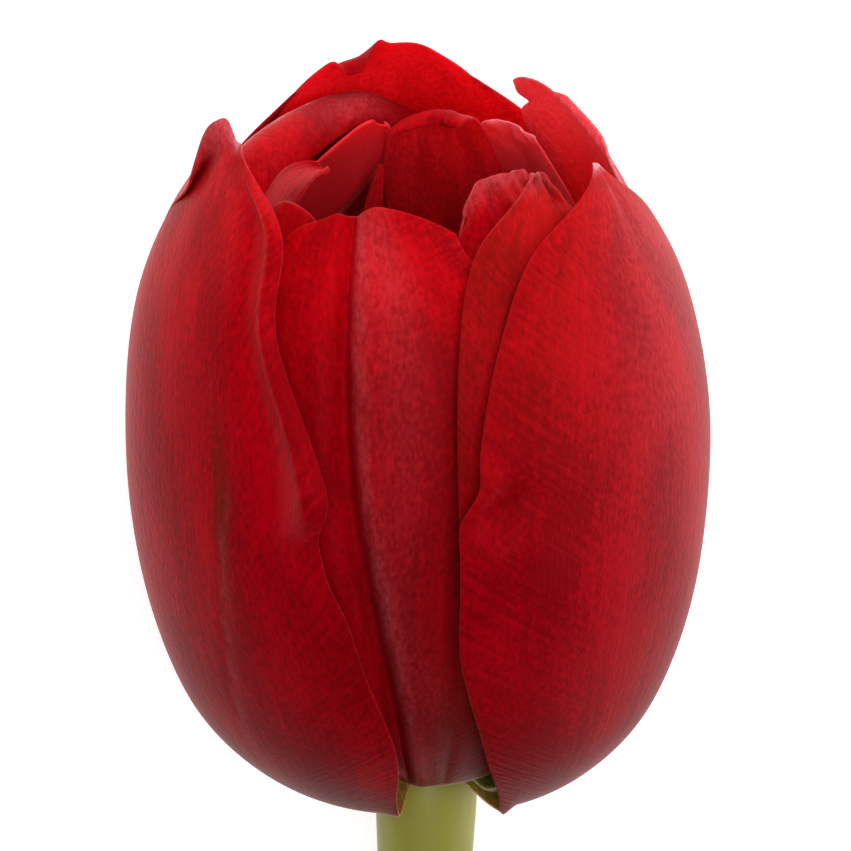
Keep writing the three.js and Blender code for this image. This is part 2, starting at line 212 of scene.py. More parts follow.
# %% The two shells
STATIONS_PER_PETAL = 8
OUTER_SHELL = {
    "radius": [4.9, 9.6, 15.8, 21.0, 24.6, 25.75, 24.2, 20.6, 17.2, 13.6, 9.5],
    "height": [0.0, -2.0, 1.0, 7.2, 18.0, 31.0, 43.0, 51.5, 57.0, 61.5, 65.0],
}
HEART_SHELL = {
    "radius": [4.2, 5.4, 6.3, 6.9, 7.2, 7.2, 6.6, 5.2, 3.6, 2.0, 0.6],
    "height": [12.0, 12.6, 15.0, 20.0, 27.0, 35.0, 43.0, 50.0, 55.0, 59.0, 62.0],
}
TIP_STRETCH = 45  # length of the shell's upper part that a share of 1 stands for
FOOT_SHIFT = 0.9  # how far the foot sits to the right of the belly
print("radius of the belly in mm:", max(OUTER_SHELL["radius"]))

# %% Soft steps and curves


def mix(a, b, share):
    return a + (b - a) * share


def ramp_up(start, end, x):
    """0 before start, 1 after end, and smooth between them."""
    share = min(max((x - start) / (end - start), 0), 1)
    return share * share * (3 - 2 * share)


def bump(at, width, x):
    """1 at a place, falling to 0 over about the width on both sides."""
    return math.exp(-(((x - at) / width) ** 2))


def window(at, width, x):
    """Near 1 within a width of a place, and falling steeply to 0 outside it."""
    return math.exp(-(((x - at) / width) ** 4))


def between(start, end, fade, x):
    """1 from start to end, rising over the fade past the start and falling over 0.1 to the end."""
    return ramp_up(start, start + fade, x) * (1 - ramp_up(end - 0.1, end, x))


def along(stations, share):
    """A smooth curve through the stations, read at a share of a plain petal's length."""
    last = len(stations) - 1
    place = share * STATIONS_PER_PETAL
    step = min(max(math.floor(place), 0), last - 1)
    x = place - step
    start, end = stations[step], stations[step + 1]
    slope_in = (end - stations[max(step - 1, 0)]) / 2
    slope_out = (stations[min(step + 2, last)] - start) / 2
    return (
        (2 * (start - end) + slope_in + slope_out) * x**3
        + (3 * (end - start) - 2 * slope_in - slope_out) * x**2
        + slope_in * x
        + start
    )


print("radius half-way up the outer shell in mm:", along(OUTER_SHELL["radius"], 0.5))

# %% The shell at a depth, with a rolled tip


def profile(share, depth):
    """Radius and height of the shell that lies at a depth between the outer one and the heart."""
    return [
        mix(along(OUTER_SHELL[key], share), along(HEART_SHELL[key], share), depth)
        for key in ("radius", "height")
    ]


def rolled_profile(share, depth, start, bend):
    """The same, but past its start the blade leaves the shell and rolls round a circle."""
    radius, height = profile(min(share, start), depth)
    if share > start:
        earlier = profile(start - 0.01, depth)
        slope = math.atan2(height - earlier[1], radius - earlier[0])
        end = slope + (share - start) * TIP_STRETCH / bend
        radius += bend * (math.sin(end) - math.sin(slope))
        height -= bend * (math.cos(end) - math.cos(slope))
    return radius, height


print("radius and height half-way to the heart:", [round(x, 1) for x in profile(0.5, 0.5)])

# %% [markdown]
# ## What shapes one petal
# A place on a blade is given by two numbers: across runs from -1 at its left margin, seen from
# outside, to 1 at the right one, and up from 0 at the foot to 1 at the tip. A petal's values say
# what happens there, and each step below reads some of them:
# - the tip is longer by rise, less so towards the margins by crown, cut by notches (across, fall,
#   width) and raised by lobes (across, lift, width, outward)
# - the margins lie at reach on both sides. Round (up, share) draws them in from that place to that
#   share of the width, and nicks (margin, up, bite, width) are bitten out. A negative bite or
#   fall adds to the blade
# - grooves (line, depth, width, start, end), lips (margin, start, end, fade, width, lift), dents
#   ((across, up), (width, length), lift), ripple and crinkle stand out from the shell or sink in
# - rolls (across, length, width) take that much of the tip's end and roll it inwards round a
#   circle. Bend gives its radius at the midrib and what that gains towards the right margin
# - the tip also turns by twist, leans outwards by open and, towards the margins, by flare. Wrap
#   tucks the right margin in under its neighbour, and corners ((across, up), (width, length),
#   droop) hang

# %% Tip, margins and relief
GROOVE_FADE = 0.2
RIPPLES = (1.5, 9, 7.3)  # waves of noise across a blade, up it and from petal to petal
CRUMPLES = (3.5, 40, 3.1)


def tip_shape(petal, side, across):
    """How much longer the blade is here at its tip, and how far its lobes stand out."""
    rise = petal["rise"] - petal["crown"][side] * across**2
    for at, fall, width in petal["notches"]:
        rise -= fall * bump(at, width, across)
    stands_out = 0
    for at, lift, width, outward in petal["lobes"]:
        lobe = window(at, width, across)
        rise += lift * lobe
        stands_out += outward * lobe
    return rise, stands_out


def margin_reach(petal, side, up, across):
    """How far the margin on this side lies from the midrib, along the shell."""
    reach = along(petal["reach"][side], up)
    round_from, round_end = petal["round"]
    if up > round_from:
        circle = math.sqrt(1 - ((up - round_from) / (1 - round_from)) ** 2)
        reach *= mix(round_end, 1, circle)
    for margin, at, bite, width in petal["nicks"]:
        reach -= bite * bump(at, width, up) * (margin * across > 0)
    return reach


def waves(counts, petal, up, across):
    """Smooth noise between -1 and 1, with so many waves across, up and from petal to petal."""
    place = (across * counts[0], up * counts[1], petal["number"] * counts[2])
    return noise.noise(Vector(place))


def relief(petal, up, across):
    """How far the blade stands out from its shell here."""
    out = 0
    for line, fall, width, start, end in petal["grooves"]:
        there = between(start, end, GROOVE_FADE, up)
        out -= fall * bump(along(line, up), width, across) * there
    for margin, start, end, fade, width, lift in petal["lips"]:
        there = between(start, end, fade, up)
        out += lift * there * ramp_up(1 - width, 1, margin * across)
    for (at_across, at_up), (wide, long), lift in petal["dents"]:
        out += lift * bump(at_across, wide, across) * bump(at_up, long, up)
    near_margin = 0.25 + abs(across) ** 6
    above_foot = ramp_up(0.1, 0.3, up)
    out += petal["ripple"] * near_margin * waves(RIPPLES, petal, up, across) * above_foot
    crinkle_from, crinkle_depth = petal["crinkle"]
    if up > crinkle_from:
        there = ramp_up(crinkle_from, crinkle_from + 0.06, up)
        out += crinkle_depth * waves(CRUMPLES, petal, up, across) * there
    return out


# %% One point of a petal
WRAP_FULL = 0.3  # share up the blade where the tuck of one margin under its neighbour is full
TIP_FROM = 0.6  # share up the blade where the tip starts to turn, rise and open
CROWN_FROM = 0.88  # share up the blade where its end starts to flare
SHIFT_END = 0.8  # share up the blade where the foot's shift has died out


def petal_point(petal, up, across):
    """The middle of a petal's blade in the bloom's own frame, its axis along +Y, in mm."""
    side = 0 if across < 0 else 1
    tip = ramp_up(TIP_FROM, 1, up)
    rise, stands_out = tip_shape(petal, side, across)
    rolled = sum(length * window(at, width, across) for at, length, width in petal["rolls"])
    radius, height = rolled_profile(
        share=up + rise * tip / TIP_STRETCH,
        depth=petal["depth"] + petal["wrap"] * across * ramp_up(0, WRAP_FULL, up),
        start=1 + (rise - rolled) / TIP_STRETCH,
        bend=petal["bend"][0] + petal["bend"][1] * across,
    )
    turn = math.radians(petal["azimuth"] + petal["twist"] * tip)
    turn += across * margin_reach(petal, side, up, across) / radius
    flare = petal["flare"][side] * across**2 + stands_out
    radius += petal["open"] * tip + flare * ramp_up(CROWN_FROM, 1, up)
    radius += relief(petal, up, across)
    for (at_across, at_up), (wide, long), droop in petal["corners"]:
        height -= droop * bump(at_across, wide, across) * bump(at_up, long, up)
    shift = FOOT_SHIFT * (1 - ramp_up(0, SHIFT_END, up))
    return Vector((radius * math.sin(turn) + shift, height, radius * math.cos(turn)))


# %% [markdown]
# ## The petals' values
# A plain petal comes first, and each real one says only where it differs: the direction of its
# midrib, how deep it sits, how wide it reaches to both margins at each station, and how its tip
# stands. The main ones are the imported solids' own. The finer ones, such as nicks, dents and
# ripples, are new here. Three more lists colour the skin. The dark spots and the pale ones are
# ((across, up), (width, length), strength), and ribs are pale lines (line, width, start, end,
# strength). The dark spots are the olive flame along the left petal's midrib, and painted shade
# on the outer right, front and third front right petals. The pale ones are pale tips, margins and
# veins, and painted sheen and painted highlights too, and on the front petal the ribs are a
# painted highlight and painted sheen. One more number paints a brighter red on inner petals that
# lie in deep shade, which is painted light.

# %% A plain petal
PLAIN_REACH = [3.0, 6.0, 10.5, 14.5, 17.5, 19.0, 17.0, 12.0, 4.0]
PLAIN = {
    "twist": 0, "wrap": 0, "open": 0, "rise": 0, "crown": (0, 0), "flare": (0, 0), "bend": (2, 0),
    "round": (1, 1), "ripple": 0.3, "crinkle": (1, 0), "grooves": [], "notches": [], "lobes": [],
    "rolls": [], "lips": [], "nicks": [], "dents": [], "corners": [], "flame": [], "pale": [],
    "ribs": [], "fresh": 0,
}


def scaled(factor):
    return [reach * factor for reach in PLAIN_REACH]


def even(reach):
    return (reach, reach)


def steady(across):
    """A line that keeps its place across the blade at all stations."""
    return [across] * (STATIONS_PER_PETAL + 1)


print("values of a petal:", len(PLAIN))

# %% The three outer petals
MIDRIB_OF_LEFT = [0, 0, 0, 0.06, 0.2, 0.34, 0.4, 0.4, 0.4]
PETALS = {
    "outer_petal_left": {
        "azimuth": -50, "twist": -13, "depth": 0, "open": 1.1, "rise": 1.7, "crown": (3, 0),
        "flare": (0.8, 0),
        "reach": ([3.6, 7.5, 14.0, 19.0, 21.0, 21.0, 18.0, 10.0, 4.0],
                  [3.0, 6.2, 11.4, 16.0, 15.8, 15.2, 10.6, 9.2, 0.5]),
        "grooves": [(MIDRIB_OF_LEFT, 0.12, 0.03, 0.25, 0.68), (steady(0.66), 0.5, 0.1, 0.5, 0.95)],
        "lobes": [(-0.58, 3.0, 0.35, 2.0)],
        "lips": [(1, 0.585, 0.97, 0.03, 0.26, 1.9), (1, 0.595, 0.99, 0.02, 0.14, -1.4)],
        "nicks": [(1, 0.592, 1.3, 0.018), (1, 0.56, 1.7, 0.03), (-1, 0.94, 2.6, 0.045)],
        "dents": [((0.88, 0.625), (0.15, 0.03), 0.9)], "corners": [((1, 0.17), (0.15, 0.04), 0.3)],
        "flame": [((0.28, 0.6), (0.05, 0.07), 0.5), ((0.2, 0.5), (0.03, 0.05), 0.3)],
        # pale: the tip's point, a pale stripe near the foot of the right margin, and a painted
        # highlight on the top of the lobe
        "pale": [((0.3, 1.0), (0.6, 0.014), 0.5), ((0.85, 0.165), (0.25, 0.012), 0.5),
                 ((-0.5, 0.97), (0.4, 0.05), 0.08)],
        "ribs": [(MIDRIB_OF_LEFT, 0.02, 0.3, 0.66, 0.03)],
    },
    "outer_petal_right": {
        "azimuth": 62, "twist": 5, "depth": 0, "open": -0.7, "rise": -0.7, "crown": (0, 1),
        "reach": ([2.8, 4.2, 10.4, 17.2, 23.2, 23.0, 20.0, 13.3, 0.5],
                  [3.6, 6.0, 11.0, 16.0, 20.0, 21.0, 19.0, 10.5, 0.5]),
        "grooves": [(steady(0), 0.3, 0.08, 0.8, 1.2)],
        "nicks": [(-1, 0.638, 0.4, 0.012), (-1, 0.603, -1.0, 0.016), (-1, 0.575, -0.5, 0.025),
                  (-1, 0.175, 0.45, 0.03)],
        "dents": [((-0.86, 0.61), (0.07, 0.02), -1.5), ((-0.97, 0.635), (0.05, 0.02), 0.5),
                  ((-0.74, 0.575), (0.12, 0.02), 0.5)],
        "corners": [((-1, 0.19), (0.15, 0.04), 0.8)],
        # pale: the white point and a pale streak at the midrib by the tip, and a broad faint patch
        # of painted sheen right of the midrib; the dark spot high on the left is painted shade
        "pale": [((0, 1.0), (2, 0.012), 1.0), ((0, 0.96), (0.1, 0.04), 0.08),
                 ((0.2, 0.78), (0.5, 0.2), 0.045)],
        "flame": [((-0.75, 0.8), (0.25, 0.15), 0.15)],
    },
    "outer_petal_back": {
        "azimuth": 188, "twist": 7, "depth": 0, "open": -0.5, "rise": 7.9, "crown": (4.6, 8.6),
        "reach": ([3.8, 6.0, 11.0, 17.0, 22.0, 24.5, 22.5, 18.0, 9.0],
                  [3.8, 6.0, 11.0, 17.0, 22.0, 24.5, 22.5, 18.0, 10.0]),
        "notches": [(0.06, -1.0, 0.07), (-0.35, -0.6, 0.25), (0.28, -0.7, 0.16)],
        "rolls": [(0.28, 2.8, 0.17)], "bend": (1.4, 0),
    },
}
print("outer petals:", len(PETALS))

# %% The second three
FOLD_OF_FRONT = [0.05, 0.05, 0.05, 0.03, -0.06, -0.16, -0.12, -0.04, 0]
RIB_OF_FRONT = [across + 0.11 for across in FOLD_OF_FRONT]
# the line of a faint band of painted sheen on the front petal, right of its rib
SHEEN_OF_FRONT = [0.3, 0.3, 0.3, 0.32, 0.1, 0.12, 0.18, 0.22, 0.2]
PETALS |= {
    "second_petal_front": {
        "azimuth": -9, "twist": -11, "depth": 0.16, "wrap": 0.06, "open": -0.6, "rise": -2.3,
        "crown": (4.5, 2.5),
        "reach": ([2.6, 6.0, 10.0, 13.0, 15.0, 16.5, 15.0, 11.0, 7.0],
                  [2.8, 6.4, 10.0, 13.5, 16.0, 18.5, 18.5, 15.0, 9.5]),
        "grooves": [(FOLD_OF_FRONT, 1.7, 0.07, 0.1, 1.2), (RIB_OF_FRONT, -0.6, 0.05, 0.1, 1.2),
                    (steady(0.42), 0.5, 0.04, 0.1, 0.75)],
        "notches": [(0, 1.2, 0.12), (-0.35, 0.9, 0.3)],
        "nicks": [(1, 0.575, -0.5, 0.02), (1, 0.63, 0.2, 0.03)],
        "corners": [((-0.2, 0.12), (0.16, 0.1), -2.0)],
        # pale: a spot of painted sheen high on the right and a pale stripe near the foot of the
        # right margin; ribs: a painted highlight along the raised rib right of the fold and a broad
        # faint band of painted sheen beside it; the dark spot on the right is painted shade
        "pale": [((0.22, 0.9), (0.15, 0.1), 0.02), ((0.86, 0.12), (0.05, 0.02), 0.6)],
        "ribs": [(SHEEN_OF_FRONT, 0.13, 0.1, 1.3, 0.015), (RIB_OF_FRONT, 0.03, 0.2, 1.3, 0.05)],
        "flame": [((0.52, 0.5), (0.2, 0.22), 0.3)],
    },
    "second_petal_back_left": {
        "azimuth": -145, "depth": 0.1, "rise": 6.8, "crown": (5, 6), "open": -0.7,
        "rolls": [(0.8, 7.4, 0.9), (-1, 6.1, 1.0)], "bend": (2.4, 0.8),
        "dents": [((0.0, 0.975), (0.05, 0.012), -0.7)],
        # pale: a thin pale line slanting along the start of the roll, and a faint painted highlight
        # on the top of the roll
        "pale": [((0.5, 0.882), (0.1, 0.005), 0.6), ((0.3, 0.895), (0.1, 0.005), 0.7),
                 ((0.1, 0.908), (0.1, 0.005), 0.5), ((-0.1, 0.94), (0.35, 0.05), 0.05)],
        "reach": ([3.0, 6.0, 10.5, 14.5, 17.5, 19.0, 18.0, 15.0, 8.0],
                  [3.2, 7.0, 12.5, 17.5, 20.0, 20.0, 18.5, 16.5, 13.0]),
    },
    "second_petal_back_right": {
        "azimuth": 109, "twist": 18, "depth": 0.1, "rise": 5, "crown": (1.5, 1.2), "open": -0.2,
        "flare": (0, 0.9),
        "reach": ([3.0, 5.0, 8.5, 12.0, 15.0, 16.5, 15.6, 10.4, 3.4],
                  [3.0, 6.0, 10.5, 14.5, 17.0, 15.0, 9.0, 6.4, 3.7]),
        "nicks": [(1, 0.945, 1.3, 0.012)],
        # pale: a thin pale line at the left margin near the tip, and a broad faint painted sheen
        # over the upper part; its slightly brighter red is painted light
        "pale": [((-1, 0.87), (0.04, 0.07), 0.3), ((0, 1), (2, 0.25), 0.14)], "fresh": 0.1,
        "lips": [(-1, 0.88, 1.2, 0.05, 0.25, 0.8)],
    },
}
print("petals so far:", len(PETALS))

# %% The third three
PETALS |= {
    "third_petal_front_right": {
        "azimuth": 40, "twist": 2, "depth": 0.1, "open": -0.5, "rise": -0.2, "crinkle": (0.9, 0.9),
        # the dark wash over the upper part is painted shade; pale: a thin pale edge at the tip
        "pale": [((0, 1.0), (2, 0.03), 0.08)], "flame": [((0, 0.9), (2, 0.4), 0.2)],
        "reach": ([0.8, 0.8, 2.8, 7.6, 12.0, 13.2, 12.2, 8.6, 0.6],
                  [2.2, 3.8, 7.0, 10.0, 10.5, 10.5, 9.0, 4.5, 0.6]),
    },
    "third_petal_left": {
        "azimuth": -48, "depth": 0.255, "rise": -3.1, "crown": (2, 2.5), "open": -0.4,
        "reach": (scaled(0.65), [2.0, 3.0, 5.2, 7.6, 9.4, 10.4, 10.0, 8.8, 6.0]),
    },
    "third_petal_back": {
        "azimuth": 178, "depth": 0.2, "rise": -7, "crown": (3, 2), "open": -2.4,
        "reach": (scaled(0.52), scaled(0.7)),
    },
}
print("petals so far:", len(PETALS))

# %% The inner four
PETALS |= {
    "inner_petal_front_right": {
        "azimuth": 33, "depth": 0.33, "rise": -0.3, "open": -0.8, "crown": (3, 0),
        "crinkle": (0.9, 0.7), "pale": [((0, 1.0), (2, 0.03), 0.08)],
        "reach": even([1.7, 2.5, 4.7, 7.4, 9.6, 10.5, 9.4, 7.0, 4.0]),
    },
    "inner_petal_left": {
        "azimuth": -84, "twist": 23, "depth": 0.35, "rise": 0.8, "open": -1.75,
        "reach": ([1.2, 2.0, 3.6, 5.2, 6.4, 7.0, 6.6, 5.6, 4.6],
                  [1.2, 2.4, 4.0, 5.4, 6.4, 6.6, 5.0, 3.0, 2.6]),
        "rolls": [(0, 4.0, 1.5)], "bend": (3.0, 0), "round": (0.85, 0.3),
    },
    "inner_petal_back_left": {
        "azimuth": -95, "twist": -65, "depth": 0.44, "rise": 0.4, "open": -2.2,
        "crown": (0, -0.2), "flare": (0, -1.3),
        "reach": ([1.2, 2.2, 3.7, 5.1, 6.1, 7.2, 7.8, 4.7, 2.0],
                  [1.2, 2.2, 3.7, 5.1, 6.1, 6.6, 6.0, 7.0, 8.0]),
        # its brighter red is painted light, for a petal that lies in deep shade
        "round": (0.85, 0.3), "fresh": 0.8, "notches": [(0.75, -0.9, 0.4)],
        "lips": [(-1, 0.7, 1.2, 0.1, 0.4, 1.0)], "pale": [((-0.85, 0.8), (0.12, 0.3), 0.12)],
    },
    "inner_petal_back_right": {
        # its brighter red and the faint pale wash over its upper part are painted light, for a
        # petal that lies in deep shade; a thin pale line edges its tip
        "azimuth": 136, "depth": 0.32, "rise": 0.8, "open": -1.8, "crown": (1, 2), "fresh": 1,
        "crinkle": (0.9, 0.6), "pale": [((0, 1.0), (2, 0.012), 0.3), ((0, 0.93), (2, 0.15), 0.07)],
        "reach": ([1.5, 2.3, 4.2, 6.7, 8.7, 9.5, 8.5, 7.5, 5.0],
                  [1.2, 1.8, 3.4, 5.4, 7.0, 7.6, 7.4, 6.6, 4.6]),
    },
}
print("petals so far:", len(PETALS))

# %% The heart's three
PETALS |= {
    "heart_petal_back": {
        "azimuth": 158, "depth": 0.58, "rise": 5.4, "crown": (1.5, 4), "open": -1.2,
        "rolls": [(0, 3.1, 1.2)], "bend": (1.2, 0), "crinkle": (0.92, 0.8),
        "reach": ([1.2, 1.8, 3.4, 5.4, 7.0, 7.6, 6.8, 5.5, 4.0],
                  [1.2, 1.8, 3.4, 5.4, 7.0, 7.6, 7.8, 7.6, 6.4]),
    },
    "heart_petal_left": {
        "azimuth": -156, "depth": 0.7, "rise": -3, "open": -1, "round": (0.85, 0.3),
        "reach": even([0.8, 1.5, 2.6, 3.6, 4.0, 3.6, 2.4, 1.2, 0.8]),
    },
    "heart_petal_right": {
        "azimuth": 62, "depth": 0.56, "rise": -8, "crown": (2, 2), "open": -1,
        "reach": even(scaled(0.36)),
    },
}
print("petals in all:", len(PETALS))

# %% [markdown]
# ## Satin petal, the living skin
# A tulip petal is a thin fleshy blade. Its outer skin is made of small domed cells, which give a
# satin sheen that pales towards the outline, and its colour follows the veins, fine lines that
# run from foot to tip. The pattern therefore reads an attribute of the piece that holds the place
# across and up the blade, so that it follows every bend. Four layers of noise are enough: veins,
# broad clouds, fine slanting wrinkles and the skin's cells.

# %% Scales of the skin's patterns
VEINS = (30, 1.5, 3)  # waves across a blade, up it and from petal to petal
CLOUDS = (2.2, 5, 7)  # broad uneven patches
WRINKLES = (4, 140, 5)  # fine lines, one each 0.45 mm of a blade's length
WRINKLE_SLANT = -0.15  # they fall towards the midrib
CELLS = (2800, 1400, 2800)  # to the metre: 0.36 mm wide, as real ones, 0.03 mm, can't be seen
print("width of a drawn cell in mm:", round(1000 / CELLS[0], 2))

# %% Material of the petals


def petal_matter(name, stops, roughness, relief_depth, glow, gloss):
    """Living petal skin: colour by height up the blade, with veins, fine wrinkles and marks. The
    marks are a midrib's olive flame, pale tips and veins, and painted sheen, painted highlights,
    painted shade and a painted brighter red where a petal lies in deep shade. Its wax is turned
    down to a low gloss, because domed cells scatter what it reflects, and the juicy flesh under it
    lets red light through."""
    material, tree, shader = new_material(name)
    add = partial(add_node, tree)
    place = add("ShaderNodeAttribute", attribute_name="blade").outputs["Vector"]
    marks = add("ShaderNodeAttribute", attribute_name="marks").outputs["Vector"]
    solid = add("ShaderNodeTexCoord").outputs["Object"]
    across, up, number = add("ShaderNodeSeparateXYZ", {"Vector": place}).outputs
    flame, pale, fresh = add("ShaderNodeSeparateXYZ", {"Vector": marks}).outputs

    away = add("ShaderNodeMath", {0: across}, operation="ABSOLUTE").outputs[0]
    slant = {0: away, 1: WRINKLE_SLANT, 2: up}
    slant = add("ShaderNodeMath", slant, operation="MULTIPLY_ADD").outputs[0]
    feather = add("ShaderNodeCombineXYZ", {"X": across, "Y": slant, "Z": number}).outputs["Vector"]
    patterns = []
    for vector, scale, detail in (
        (place, VEINS, 4.0),
        (place, CLOUDS, 3.0),
        (feather, WRINKLES, 2.0),
        (solid, CELLS, 3.0),
    ):
        stretched = add("ShaderNodeMapping", {"Vector": vector, "Scale": scale}).outputs["Vector"]
        noise_inputs = {"Vector": stretched, "Scale": 1.0, "Detail": detail}
        patterns.append(add("ShaderNodeTexNoise", noise_inputs).outputs["Fac"])
    veins, clouds, wrinkles, cells = patterns

    fine = add("ShaderNodeMath", {0: wrinkles, 1: 0.5}, operation="SUBTRACT").outputs[0]
    fine = add("ShaderNodeMath", {0: fine, 1: away}, operation="MULTIPLY").outputs[0]
    patches = {0: cells, 1: 0.6, 2: clouds}
    patches = add("ShaderNodeMath", patches, operation="MULTIPLY_ADD").outputs[0]
    patches = {0: fine, 1: 0.55, 2: patches}
    patches = add("ShaderNodeMath", patches, operation="MULTIPLY_ADD").outputs[0]
    spotted = {"Value": cells, "From Min": 0.3, "From Max": 0.7, "To Min": 0.5, "To Max": 1.5}
    spotted = add("ShaderNodeMapRange", spotted).outputs["Result"]
    pale = {0: pale, 1: spotted}
    pale = add("ShaderNodeMath", pale, operation="MULTIPLY", use_clamp=True).outputs[0]
    skin = add("ShaderNodeValToRGB", {"Fac": up}, stops).outputs["Color"]
    dark_veins = add("ShaderNodeValToRGB", {"Fac": veins}, [(0.3, "#ececec"), (0.7, "#ffffff")])
    dark_veins = dark_veins.outputs["Color"]
    mottling = [(0.68, "#c8b8c4"), (0.98, "#ffffff")]
    dark_patches = add("ShaderNodeValToRGB", {"Fac": patches}, mottling).outputs["Color"]
    # the brighter red is painted light on petals in deep shade; the dark brown is a midrib's flame
    # and painted shade; the pale pink is pale tips and veins, and painted sheen and highlights
    for kind, share, layer in (
        ("MULTIPLY", 1.0, dark_veins),
        ("MULTIPLY", 1.0, dark_patches),
        ("MIX", fresh, colour("#ff2830")),
        ("MIX", flame, colour("#4a2410")),
        ("MIX", pale, colour("#f0a8b4")),
    ):
        inputs = {"Factor": share, 6: skin, 7: layer}
        skin = add("ShaderNodeMix", inputs, data_type="RGBA", blend_type=kind).outputs[2]
    tree.links.new(skin, shader.inputs["Base Color"])

    height = {0: fine, 1: 2.5, 2: cells}
    height = add("ShaderNodeMath", height, operation="MULTIPLY_ADD").outputs[0]
    height = {0: veins, 1: 0.8, 2: height}
    height = add("ShaderNodeMath", height, operation="MULTIPLY_ADD").outputs[0]
    inputs = {"Height": height, "Strength": 0.5, "Distance": relief_depth * MM}
    tree.links.new(add("ShaderNodeBump", inputs).outputs["Normal"], shader.inputs["Normal"])

    shader.inputs["Roughness"].default_value = roughness
    shader.inputs["Specular IOR Level"].default_value = gloss
    shader.inputs["Specular Tint"].default_value = colour("#ff9098")
    shader.inputs["Sheen Weight"].default_value = 0.13
    shader.inputs["Sheen Roughness"].default_value = 0.15
    shader.inputs["Sheen Tint"].default_value = colour("#ffb0a0")
    shader.inputs["Subsurface Weight"].default_value = glow
    shader.inputs["Subsurface Radius"].default_value = (1.0, 0.06, 0.08)
    shader.inputs["Subsurface Scale"].default_value = 3.0 * MM
    return material


# %% The petals' three finishes
# The outer skin is deep red and scatters little, the inner one brighter and more open to the
# light, and the rim is so thin that both show through it.
OUTSIDE = petal_matter(
    "satin petal, outer skin",
    [(0.0, "#b8b060"), (0.08, "#d8b898"), (0.155, "#d0a090"), (0.18, "#701a10"), (0.22, "#7c0a0c"),
     (0.35, "#94040e"), (0.55, "#a80010"), (0.9, "#c20410")],
    roughness=0.45, relief_depth=0.1, glow=0.15, gloss=0.05,
)
INSIDE = petal_matter(
    "satin petal, inner skin",
    [(0.0, "#78a444"), (0.2, "#68983c"), (0.27, "#8a2010"), (0.35, "#a80008"), (0.6, "#dc0812"),
     (0.9, "#e41c26")],
    roughness=0.5, relief_depth=0.1, glow=0.6, gloss=0.15,
)
RIM = petal_matter(
    "satin petal, thin rim",
    [(0.0, "#b8b860"), (0.19, "#d8b0a0"), (0.25, "#8c2420"), (0.6, "#a81820"), (0.9, "#c0242c")],
    roughness=0.5, relief_depth=0.05, glow=0.4, gloss=0.1,
)
print("finishes of a petal:", [matter.name for matter in (OUTSIDE, INSIDE, RIM)])

# %% [markdown]
# ## From grid to petal
# Each petal starts as a flat grid of quads. Every point of it knows how far across and up it
# lies, and is moved to its place on the shell, like cloth laid on a form. Solidify then gives the
# blade its thickness, full at the fleshy middle and thin at the margins, and one level of
# subdivision rounds the rim.

# %% Helpers for petals
BLADE = 0.6  # thickness of a petal at its midrib
MARGIN_SHARE = 0.35  # what is left of it at the margin
LARGE_GRID = (100, 56)  # rows up a blade and columns across it
SMALL_GRID = (56, 32)
bloom_to_part = Matrix.Translation(FOOT) @ Matrix.Rotation(AXIS_RISE, 4, "X")


def spread(x):
    """Rows and columns stand closer together towards the ends, -1 and 1."""
    return mix(x, math.sin(x * math.pi / 2), 0.6)


def mark(spots, lines, up, across):
    """Strength of a petal's coloured spots and lines at a point of its blade, up to 1."""
    total = 0
    for (at_across, at_up), (wide, long), strength in spots:
        total += strength * bump(at_across, wide, across) * bump(at_up, long, up)
    for line, wide, start, end, strength in lines:
        there = between(start, end, 0.1, up)
        total += strength * bump(along(line, up), wide, across) * there
    return min(total, 1)


def claim(piece, node):
    """Rounds a piece by one level of subdivision, and puts it in the place of its node."""
    finer = piece.modifiers.new("finer", "SUBSURF")
    finer.levels = finer.render_levels = 1
    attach(piece, "root")
    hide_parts(node)


print("thickness at a margin in mm:", BLADE * MARGIN_SHARE)

# %% Make the petals


def petal_piece(name, petal, rows, cols):
    shape = bmesh.new()
    bmesh.ops.create_grid(shape, x_segments=cols, y_segments=rows, size=1)
    blade = shape.verts.layers.float_vector.new("blade")
    marks = shape.verts.layers.float_vector.new("marks")
    fleshy = shape.verts.layers.deform.verify()
    for vert in shape.verts:
        across, up = spread(vert.co.x), (spread(vert.co.y) + 1) / 2
        vert[blade] = (across, up, petal["number"])
        # dark spots: a midrib's flame and painted shade; pale spots and ribs: pale tips and veins,
        # and painted sheen and highlights; last, a painted brighter red for petals in deep shade
        flame = mark(petal["flame"], [], up, across)
        pale = mark(petal["pale"], petal["ribs"], up, across)
        vert[marks] = (flame, pale, petal["fresh"])
        vert[fleshy][0] = 1 - max(abs(across), 2 * up - 1) ** 4
        vert.co = bloom_to_part @ petal_point(petal, up, across)
        vert.co.z = max(vert.co.z, BLADE / 2)
    piece = new_piece(shape, name + "_skin", (OUTSIDE, INSIDE, RIM))
    piece.vertex_groups.new(name="fleshy")
    body = piece.modifiers.new("thickness", "SOLIDIFY")
    body.thickness = BLADE * MM
    body.offset = 0
    body.vertex_group = "fleshy"
    body.thickness_vertex_group = MARGIN_SHARE
    body.material_offset = 1
    body.material_offset_rim = 2
    claim(piece, name)


for number, (name, values) in enumerate(PETALS.items()):
    petal = {**PLAIN, **values, "number": number}
    rows, cols = LARGE_GRID if name.startswith(("outer", "second")) else SMALL_GRID
    petal_piece(name, petal, rows, cols)
print("petals made:", len(PETALS))

# %% [markdown]
# ## The stalk and the receptacle
# A tulip's stalk is a smooth, fleshy green column with faint lengthwise ribs, and it widens into
# the receptacle that carries the petals. Both are one body of revolution, so a half profile is
# spun once round the axis, and every ring is then moved sideways to bend the stalk a little. The
# cut end is left a shade hollow, as a sliced stalk dries from its soft pith first.

# %% Material of the stalk and of its cut
STALK_RIBS = (900, 60, 900)  # to the metre: one each 1.1 mm round the stalk, long ones along it
STALK_CLOUDS = (160, 50, 160)  # patches of 6 mm round the stalk and 20 mm along it


